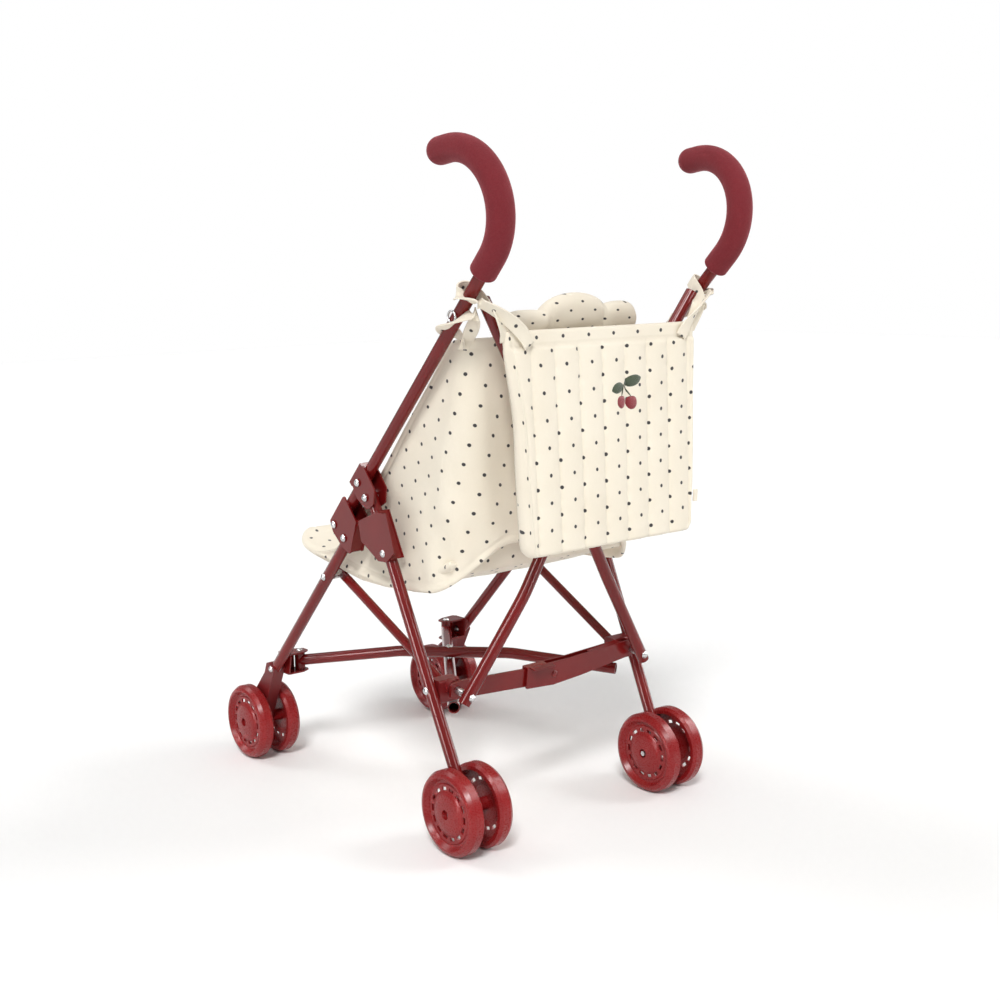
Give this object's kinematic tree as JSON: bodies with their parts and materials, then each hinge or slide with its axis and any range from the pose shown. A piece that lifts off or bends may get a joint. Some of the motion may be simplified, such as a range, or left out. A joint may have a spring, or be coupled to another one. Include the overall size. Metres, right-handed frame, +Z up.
{
  "type": "doll stroller",
  "caption": "Toy umbrella-fold stroller for dolls: twin wheels on four legs, hooked handles, padded dotted sling seat, folding cross frame and a quilted bag behind.",
  "frame": {"origin": "centre of the bounding box's bottom face, on the ground under the middle of the stroller", "axes": "+Z up; the stroller faces -Y, and its handles and bag are at +Y; +X is the stroller's left side"},
  "size_m": [0.2658, 0.4158, 0.5256],
  "materials": {
    "frame_paint": "glossy dark red paint",
    "wheel_plastic": "semi-gloss dark red moulding",
    "moulded_plastic": "semi-gloss dark red moulding",
    "grip_foam": "matt foam",
    "axle_steel": "plain",
    "rivet_steel": "bright plated",
    "seat_fabric": "woven cotton, cream with small dark dots"
  },
  "bodies": {
    "left_frame": {"handle_tube_left": "frame_paint", "handle_grip_left": "grip_foam", "front_leg_left": "frame_paint", "rear_leg_left": "frame_paint", "front_axle_left": "axle_steel", "rear_axle_left": "axle_steel", "upper_bracket_left": "frame_paint", "front_plate_left": "frame_paint", "leg_channel_left": "frame_paint", "side_link_left": "frame_paint", "corner_block_left": "moulded_plastic", "front_bracket_left": "frame_paint", "front_fork_left": "moulded_plastic", "side_rivets_left": "rivet_steel", "corner_pivot_left": "rivet_steel", "bar_pin_left": "rivet_steel", "seat_wing_left": "seat_fabric", "bag_strap_left": "seat_fabric", "seat_base": "seat_fabric", "seat_back": "seat_fabric", "headrest": "seat_fabric", "bag_body": "seat_fabric", "strap_ring": "rivet_steel"},
    "right_frame": {"handle_tube_right": "frame_paint", "handle_grip_right": "grip_foam", "front_leg_right": "frame_paint", "rear_leg_right": "frame_paint", "front_axle_right": "axle_steel", "rear_axle_right": "axle_steel", "upper_bracket_right": "frame_paint", "front_plate_right": "frame_paint", "leg_channel_right": "frame_paint", "side_link_right": "frame_paint", "corner_block_right": "moulded_plastic", "front_bracket_right": "frame_paint", "front_fork_right": "moulded_plastic", "side_rivets_right": "rivet_steel", "corner_pivot_right": "rivet_steel", "bar_pin_right": "rivet_steel", "seat_wing_right": "seat_fabric", "bag_strap_right": "seat_fabric"},
    "cross_front": {"cross_tube_front": "frame_paint", "cross_rivet": "rivet_steel"},
    "cross_back": {"cross_tube_back": "frame_paint"},
    "bar_upper": {"bottom_bar_upper": "frame_paint"},
    "bar_lower": {"bottom_bar_lower": "frame_paint", "bottom_rivet": "rivet_steel"},
    "brace_bar": {"brace_bar": "frame_paint"},
    "brace_channel": {"brace_channel": "frame_paint", "release_pedal": "moulded_plastic"},
    "front_wheel_outer_left": {"front_wheel_outer_left": "wheel_plastic"},
    "front_wheel_inner_left": {"front_wheel_inner_left": "wheel_plastic"},
    "rear_wheel_outer_left": {"rear_wheel_outer_left": "wheel_plastic"},
    "rear_wheel_inner_left": {"rear_wheel_inner_left": "wheel_plastic"},
    "front_wheel_outer_right": {"front_wheel_outer_right": "wheel_plastic"},
    "front_wheel_inner_right": {"front_wheel_inner_right": "wheel_plastic"},
    "rear_wheel_outer_right": {"rear_wheel_outer_right": "wheel_plastic"},
    "rear_wheel_inner_right": {"rear_wheel_inner_right": "wheel_plastic"}
  },
  "joints": [
    {"name": "fold", "type": "hinge", "parent": "left_frame", "child": "cross_front", "pos_m": [0.0907, 0.114, 0.1159], "axis": [0, 0.9889, -0.1486], "range_deg": [0, 21], "deforming": ["seat_base", "seat_back", "headrest", "bag_body"]},
    {"name": "cross_scissor", "type": "hinge", "parent": "cross_front", "child": "cross_back", "pos_m": [0, 0.13484, 0.25455], "axis": [0, 0.9889, -0.1486], "range_deg": [-42.5, 0]},
    {"name": "right_corner", "type": "hinge", "parent": "cross_back", "child": "right_frame", "pos_m": [-0.0907, 0.114, 0.1159], "axis": [0, 0.9889, -0.1486], "range_deg": [0, 21.5]},
    {"name": "brace_left", "type": "hinge", "parent": "left_frame", "child": "brace_bar", "pos_m": [0.0907, 0.114, 0.1159], "axis": [0, 0.9889, -0.1486], "range_deg": [0, 62.51]},
    {"name": "brace_right", "type": "hinge", "parent": "right_frame", "child": "brace_channel", "pos_m": [-0.0907, 0.114, 0.1159], "axis": [0, 0.9889, -0.1486], "range_deg": [-81.54, 0]},
    {"name": "upper_bar_swing", "type": "hinge", "parent": "left_frame", "child": "bar_upper", "pos_m": [0.082, -0.1416, 0.09], "axis": [0, 0, 1], "range_deg": [-25.71, 0]},
    {"name": "lower_bar_swing", "type": "hinge", "parent": "right_frame", "child": "bar_lower", "pos_m": [-0.082, -0.1416, 0.09], "axis": [0, 0, 1], "range_deg": [0, 25.71]},
    {"name": "front_wheel_outer_left_spin", "type": "hinge", "parent": "left_frame", "child": "front_wheel_outer_left", "pos_m": [0.1166, -0.1749, 0.033], "axis": [1, 0, 0], "continuous": true},
    {"name": "front_wheel_inner_left_spin", "type": "hinge", "parent": "left_frame", "child": "front_wheel_inner_left", "pos_m": [0.089, -0.1749, 0.033], "axis": [1, 0, 0], "continuous": true},
    {"name": "rear_wheel_outer_left_spin", "type": "hinge", "parent": "left_frame", "child": "rear_wheel_outer_left", "pos_m": [0.1166, 0.1269, 0.033], "axis": [1, 0, 0], "continuous": true},
    {"name": "rear_wheel_inner_left_spin", "type": "hinge", "parent": "left_frame", "child": "rear_wheel_inner_left", "pos_m": [0.089, 0.1269, 0.033], "axis": [1, 0, 0], "continuous": true},
    {"name": "front_wheel_outer_right_spin", "type": "hinge", "parent": "right_frame", "child": "front_wheel_outer_right", "pos_m": [-0.1166, -0.1749, 0.033], "axis": [1, 0, 0], "continuous": true},
    {"name": "front_wheel_inner_right_spin", "type": "hinge", "parent": "right_frame", "child": "front_wheel_inner_right", "pos_m": [-0.089, -0.1749, 0.033], "axis": [1, 0, 0], "continuous": true},
    {"name": "rear_wheel_outer_right_spin", "type": "hinge", "parent": "right_frame", "child": "rear_wheel_outer_right", "pos_m": [-0.1166, 0.1269, 0.033], "axis": [1, 0, 0], "continuous": true},
    {"name": "rear_wheel_inner_right_spin", "type": "hinge", "parent": "right_frame", "child": "rear_wheel_inner_right", "pos_m": [-0.089, 0.1269, 0.033], "axis": [1, 0, 0], "continuous": true}
  ],
  "couplings": [
    {"joint": "cross_scissor", "follows": "fold", "ratio": -2},
    {"joint": "right_corner", "follows": "fold", "ratio": 1},
    {"joint": "brace_left", "follows": "fold", "ratio": 2.953},
    {"joint": "brace_right", "follows": "fold", "ratio": -3.859},
    {"joint": "upper_bar_swing", "follows": "fold", "ratio": -1.2004},
    {"joint": "lower_bar_swing", "follows": "fold", "ratio": 1.2004}
  ]
}
